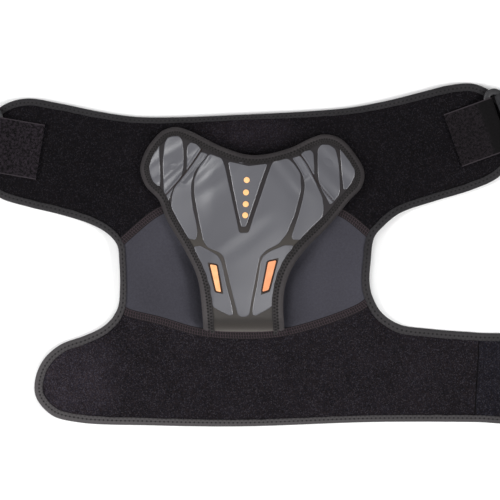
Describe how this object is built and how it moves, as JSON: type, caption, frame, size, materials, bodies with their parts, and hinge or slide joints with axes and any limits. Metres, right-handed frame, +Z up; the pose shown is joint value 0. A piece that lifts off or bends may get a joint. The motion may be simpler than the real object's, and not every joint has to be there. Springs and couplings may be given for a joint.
{
  "type": "shoulder compression brace",
  "caption": "Wrap-around shoulder brace of bound neoprene laid open, with a padded pressure flap, an upper-arm band, hook tabs on rings and a chest strap.",
  "frame": {"origin": "middle of the brace's box, on the floor that it lies on", "axes": "+X to the right and +Y to the yoke's top edge as it is seen from above, +Z up from the floor"},
  "size_m": [0.5226, 0.3091, 0.032],
  "materials": {
    "pile": "black loop pile on neoprene",
    "knit": "dark grey plain knit on neoprene",
    "tape": "dark grey folded binding tape",
    "rubber": "matt dark coated foam",
    "film": "satin grey film",
    "orange": "soft orange film",
    "hook": "black hook tape",
    "plastic": "moulded black plastic",
    "elastic": "black woven elastic"
  },
  "bodies": {
    "root": {"yoke": "pile", "mid_panel": "knit", "arm_band": "pile", "band_tip": "pile", "band_hook": "hook", "binding_yoke": "tape", "binding_underarm_right": "tape", "binding_band": "tape", "binding_underarm_left": "tape", "pad": "rubber", "pad_binding": "tape", "film_center": "film", "film_vee": "film", "film_flank_left": "film", "film_flank_right": "film", "film_lower_left": "film", "film_lower_right": "film", "film_ear_left_outer": "film", "film_ear_left_mid": "film", "film_ear_left_inner": "film", "film_ear_right_inner": "film", "film_ear_right_mid": "film", "film_ear_right_outer": "film", "bar_left": "orange", "bar_right": "orange", "dot_1": "orange", "dot_2": "orange", "dot_3": "orange", "dot_4": "orange", "ear_hook_left": "hook", "ear_hook_right": "hook", "tab_left": "hook", "tab_right": "hook", "ring_left": "plastic", "ring_right": "plastic", "chest_strap": "elastic"}
  },
  "joints": []
}
